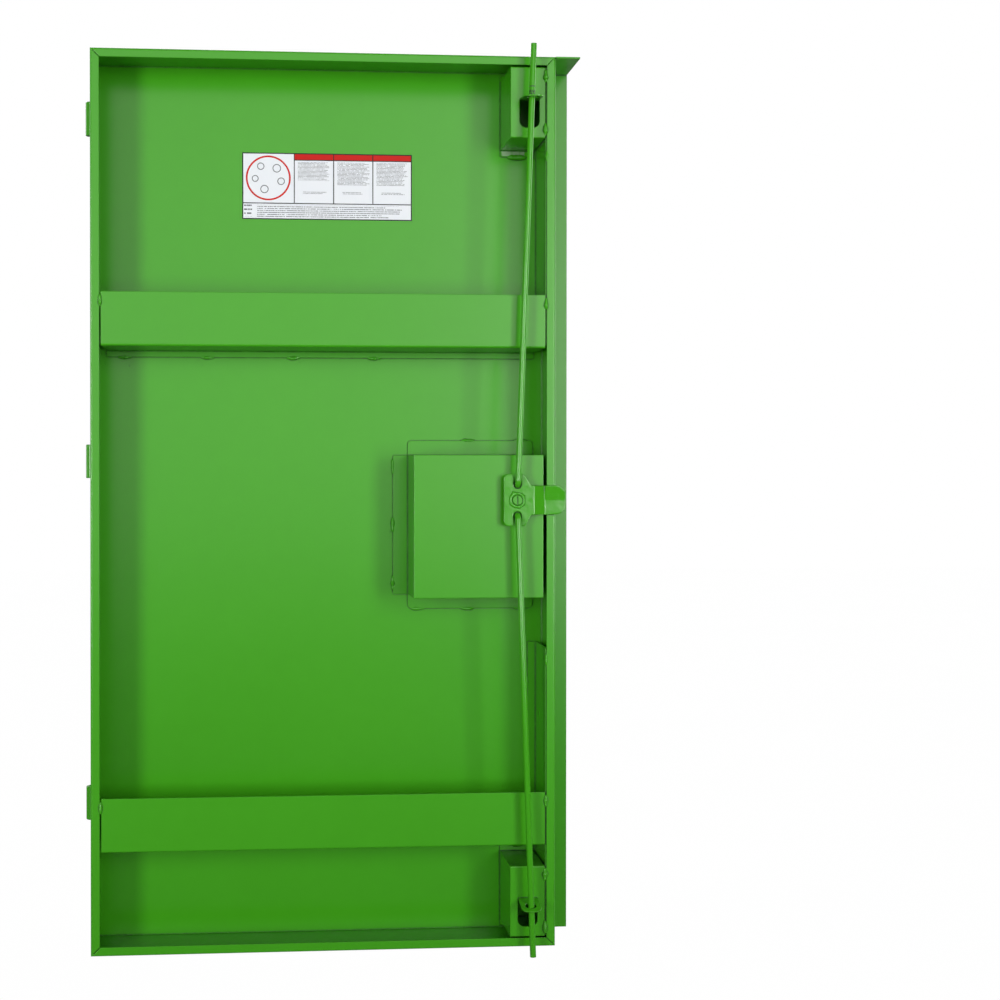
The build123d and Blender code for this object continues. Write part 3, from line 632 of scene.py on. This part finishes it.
def spatter(bm, draw, about, spread, face_y):
    """A few small balls of weld metal stuck to the sheet round a bead."""
    for _ in range(draw.randint(*BALLS)):
        spot = Vector((about.x + draw.uniform(-spread, spread), face_y,
                       about.z + draw.uniform(-spread, spread)))
        size = draw.uniform(*BALL_RADIUS) * MM
        ball = bmesh.ops.create_icosphere(bm, subdivisions=2, radius=size)
        for vert in ball["verts"]:
            vert.co = Vector((vert.co.x, vert.co.y * BALL_FLAT, vert.co.z)) + spot


def weld_runs(node, radius, fullness, seed):
    """Rippled beads where one CAD weld node has its plain ones, fuller or leaner than those."""
    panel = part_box("label")[1].y
    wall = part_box("door_pan")[0].x
    draw = random.Random(seed)

    def build(bm):
        for number, (low, high) in enumerate(solid_boxes(NODES[node].data)):
            size = high - low
            run = max(range(3), key=lambda axis: size[axis])
            middle = (low + high) / 2
            for axis in range(3):
                if axis != run and size[axis] < 1.5 * radius:
                    middle[axis] = high[axis]
            start, end = middle.copy(), middle.copy()
            start[run], end[run] = low[run] + radius, high[run] - radius
            rippled_run(bm, start, end, radius * fullness, seed * 10.0 + number * 1.7)
            if abs(high.y - panel) < 0.2 * MM:
                spatter(bm, draw, middle, SPATTER_SPREAD, panel)
        for vert in bm.verts:
            vert.co.y = min(vert.co.y, panel + BEAD_BURIED)
            if vert.co.x < wall + NEAR_WALL:
                vert.co.x = min(vert.co.x, wall + BEAD_BURIED)

    piece = mesh_piece(node + "_beads", "door", PAINT_WELD, build)
    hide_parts(node)


def spindle_ring_weld():
    """Uneven ring of weld round the spindle's end, with the tail where it was started."""
    spindle_low, spindle_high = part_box("spindle")
    low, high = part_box("spindle_weld")
    centre = (spindle_low + spindle_high) / 2
    inner = (spindle_high.x - spindle_low.x) / 2 + 0.2 * MM
    outer = (high.x - low.x) / 2
    foot = high.y + 0.3 * MM
    around, across = 144, 12
    tail_at, tail_wide, tail_reach = math.radians(118.0), math.radians(10.0), 0.22
    ripples, ripple_depth, widest = 38.0, 0.16, 1.18

    def build(bm):
        rings = []
        for turn in range(around):
            angle = 2.0 * math.pi * turn / around
            tail = math.exp(-((angle - tail_at) / tail_wide) ** 2)
            spot = Vector((math.cos(angle), math.sin(angle), 4.0))
            spread = 0.90 + 0.09 * noise.noise(spot * 1.8)
            rim = outer * min(spread + tail_reach * tail, widest)
            ripple = 0.5 + 0.5 * math.cos(angle * ripples)
            ring = []
            for number in range(across + 1):
                share = number / across
                reach = inner + (rim - inner) * share
                hump = math.sin(math.pi * min(share * 0.92 + 0.08, 1.0)) ** 0.7
                crest = 1.0 + ripple_depth * (ripple - 0.5) * hump
                height = (high.y - low.y) * min(0.25 * (1.0 - share) + 0.72 * hump * crest, 0.99)
                ring.append(bm.verts.new((centre.x + reach * math.cos(angle), high.y - height,
                                          centre.z + reach * math.sin(angle))))
            for share in (1.0, 0.0):
                reach = inner + (rim - inner) * share
                ring.append(bm.verts.new((centre.x + reach * math.cos(angle), foot,
                                          centre.z + reach * math.sin(angle))))
            rings.append(ring)
        for number in range(around):
            one, two = rings[number], rings[(number + 1) % around]
            for place in range(len(one)):
                after = (place + 1) % len(one)
                bm.faces.new((one[place], one[after], two[after], two[place]))

    piece = mesh_piece("spindle_ring_weld", "latch", PAINT_WELD, build)
    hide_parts("spindle_weld")


# ---- latch plate -----------------------------------------------------------------------

CUT_CELL = 0.7 * MM             # cells that the flame-cut plate is divided into
CUT_ROUNDS = 5                  # rounds of smoothing that melt its edges
CUT_DENT = 0.22 * MM            # depth of the dents in its face
BROAD_DENTS, FINE_DENTS = 85.0, 210.0


def softened_copy(name, node, body, material, cell, rounds, dent):
    """A finely divided copy of a CAD piece with melted edges and a slightly uneven face."""
    mesh = NODES[node].data.copy()
    mesh.name = name
    mesh.materials.clear()
    mesh.materials.append(material)
    piece = bpy.data.objects.new(name, mesh)
    bpy.context.scene.collection.objects.link(piece)
    remesh = piece.modifiers.new("fine cells", "REMESH")
    remesh.mode = "VOXEL"
    remesh.voxel_size = cell
    smooth = piece.modifiers.new("melted edges", "SMOOTH")
    smooth.factor = 0.5
    smooth.iterations = rounds
    reached = piece.evaluated_get(bpy.context.evaluated_depsgraph_get())
    done = bpy.data.meshes.new_from_object(reached)
    piece.modifiers.clear()
    piece.data = done
    moved = []
    for vert in done.vertices:
        lift = noise.noise(vert.co * BROAD_DENTS) + 0.5 * noise.noise(vert.co * FINE_DENTS)
        moved.extend(vert.co + vert.normal * (lift * dent))
    done.vertices.foreach_set("co", moved)
    done.update()
    for face in done.polygons:
        face.use_smooth = True
    done.materials.clear()
    done.materials.append(material)
    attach(piece, body)
    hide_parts(node)


softened_copy("latch_plate_cut", "latch_plate", "latch", PAINT_LATCH, CUT_CELL, CUT_ROUNDS,
              CUT_DENT)

FIRST_WELD_SEED = 21
WELDS = (                       # node, radius of its CAD beads, fullness of these
    ("tray_welds", 3.0 * MM, 1.15),
    ("guide_welds", 3.0 * MM, 1.55),
    ("pocket_welds", 3.0 * MM, 1.15),
    ("stiffener_welds", 3.0 * MM, 1.0),
    ("hinge_welds", 2.2 * MM, 1.1),
)
for number, (node, radius, fullness) in enumerate(WELDS):
    weld_runs(node, radius, fullness, FIRST_WELD_SEED + number)
spindle_ring_weld()

# ---- studio ----------------------------------------------------------------------------

WHITE = (1.0, 1.0, 1.0, 1.0)
FLOOR_SEEN = (0.993, 0.993, 0.993, 1.0)     # the floor's darkest shade to the eye
FLOOR_FELT = (0.24, 0.24, 0.24, 1.0)        # the floor to everything else
ROOM_TINT = (1.0, 0.985, 0.93, 1.0)
FLOOR_DROP, FLOOR_REACH = 0.30, 14.0

# brightness of the studio, where 1.0 is the white backdrop
WALL_FOOT, WALL_HEAD = -0.28, 0.06
WALL_GLOW, SIDE_GLOW = 1.35, 1.10
ROOM_GLOW, BACK_GLOW = 0.09, 0.85

LIGHTS_AIM = (0.37, 0.0, 0.76)
LIGHTS = (                      # name, place, width and height, watts, spread in degrees
    ("left key", (-1.40, -2.60, 0.62), (0.5, 1.5), 9.2, 80.0),
    ("right key", (1.85, -2.45, 0.70), (0.5, 1.5), 6.6, 80.0),
    ("back fill", (0.4, 3.2, 2.2), (2.6, 1.8), 60.0, 180.0),
    ("right fill", (3.2, 0.7, 0.9), (1.6, 1.8), 26.0, 180.0),
    ("left fill", (-2.6, 0.7, 0.9), (1.6, 1.8), 14.0, 180.0),
)

CAMERA_PLACE = (0.2481, -2.5235, 0.5354)
CAMERA_DIP, CAMERA_TURN = 0.4, -4.41        # degrees below level, and round the upright axis
CAMERA_LENS, CAMERA_SENSOR = 55.8, 36.0     # millimetres
CAMERA_SHIFT = (0.1349, -0.0188)
CAMERA_NEAR, CAMERA_FAR = 0.05, 60.0


def studio_floor():
    """Broad pale floor under the hanging leaf, white to the eye and dim to everything else."""
    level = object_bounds()[0].z - FLOOR_DROP
    reach = FLOOR_REACH
    mesh = bpy.data.meshes.new("studio_floor")
    corners = [(-reach, -reach, level), (reach, -reach, level), (reach, reach, level),
               (-reach, reach, level)]
    mesh.from_pydata(corners, [], [(0, 1, 2, 3)])
    floor = bpy.data.objects.new("studio_floor", mesh)
    bpy.context.scene.collection.objects.link(floor)
    material = bpy.data.materials.new("pale studio floor")
    material.use_nodes = True
    material.node_tree.nodes.clear()
    make = Maker(material.node_tree)
    where = make.node("ShaderNodeTexCoord").outputs["Object"]
    cloud = make.noise(where, scale=1.5, detail=3.0, rough=0.5)
    pale = make.blend(cloud, FLOOR_SEEN, WHITE)
    seen = make.node("ShaderNodeEmission", {"Color": pale, "Strength": 1.0})
    matt = make.node("ShaderNodeBsdfDiffuse", {"Color": FLOOR_FELT})
    path = make.node("ShaderNodeLightPath")
    mix = make.node("ShaderNodeMixShader", {"Fac": path.outputs["Is Camera Ray"]})
    make.feed(mix.inputs[1], matt.outputs["BSDF"])
    make.feed(mix.inputs[2], seen.outputs["Emission"])
    make.node("ShaderNodeOutputMaterial", {"Surface": mix.outputs["Shader"]})
    mesh.materials.append(material)
    floor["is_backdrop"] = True


def studio_sky():
    """White backdrop for the eye; a bright wall in front and a dim room for everything else."""
    world = bpy.data.worlds.new("studio")
    bpy.context.scene.world = world
    world.use_nodes = True
    world.node_tree.nodes.clear()
    make = Maker(world.node_tree)
    aim = make.node("ShaderNodeSeparateXYZ",
                    {"Vector": make.node("ShaderNodeTexCoord").outputs["Generated"]})
    east, north, up = aim.outputs["X"], aim.outputs["Y"], aim.outputs["Z"]
    front = make.ramp(north, -0.80, -0.94)
    lift = make.ramp(up, WALL_FOOT, WALL_HEAD)
    crown = make.ramp(up, 0.55, 0.36)
    wall = make.math("MULTIPLY", make.math("MULTIPLY", front, lift), crown)
    side = make.math("MULTIPLY", make.ramp(east, 0.08, 0.20), make.ramp(east, 0.60, 0.42))
    bright = make.math("ADD", WALL_GLOW, make.math("MULTIPLY", side, SIDE_GLOW))
    behind = make.math("MULTIPLY", make.ramp(north, -0.1, 0.5), BACK_GLOW)
    glow = make.math("ADD", make.math("MULTIPLY", wall, bright), ROOM_GLOW)
    glow = make.math("ADD", glow, behind)
    room = make.node("ShaderNodeBackground", {"Color": ROOM_TINT, "Strength": glow})
    seen = make.node("ShaderNodeBackground", {"Color": WHITE, "Strength": 1.0})
    path = make.node("ShaderNodeLightPath")
    mix = make.node("ShaderNodeMixShader", {"Fac": path.outputs["Is Camera Ray"]})
    make.feed(mix.inputs[1], room.outputs["Background"])
    make.feed(mix.inputs[2], seen.outputs["Background"])
    make.node("ShaderNodeOutputWorld", {"Surface": mix.outputs["Shader"]})


def soft_light(name, place, size, power, spread):
    """A rectangular lamp turned to the middle of the leaf."""
    data = bpy.data.lights.new(name, "AREA")
    data.shape = "RECTANGLE"
    data.size, data.size_y = size
    data.energy = power
    data.spread = math.radians(spread)
    lamp = bpy.data.objects.new(name, data)
    lamp.location = place
    lamp.rotation_mode = "QUATERNION"
    lamp.rotation_quaternion = (Vector(LIGHTS_AIM) - Vector(place)).to_track_quat("-Z", "Y")
    bpy.context.scene.collection.objects.link(lamp)


def studio_camera():
    """Camera a little to the hinge side of the leaf's middle, turned towards its latch side."""
    data = bpy.data.cameras.new("camera")
    camera = bpy.data.objects.new("camera", data)
    bpy.context.scene.collection.objects.link(camera)
    camera.location = CAMERA_PLACE
    camera.rotation_euler = (math.radians(90.0 - CAMERA_DIP), 0.0, math.radians(CAMERA_TURN))
    data.sensor_width = CAMERA_SENSOR
    data.lens = CAMERA_LENS
    data.shift_x, data.shift_y = CAMERA_SHIFT
    data.clip_start, data.clip_end = CAMERA_NEAR, CAMERA_FAR
    bpy.context.scene.camera = camera


studio_floor()
studio_sky()
for light in LIGHTS:
    soft_light(*light)
studio_camera()

view = bpy.context.scene.view_settings
view.view_transform = "Standard"
view.look = "None"
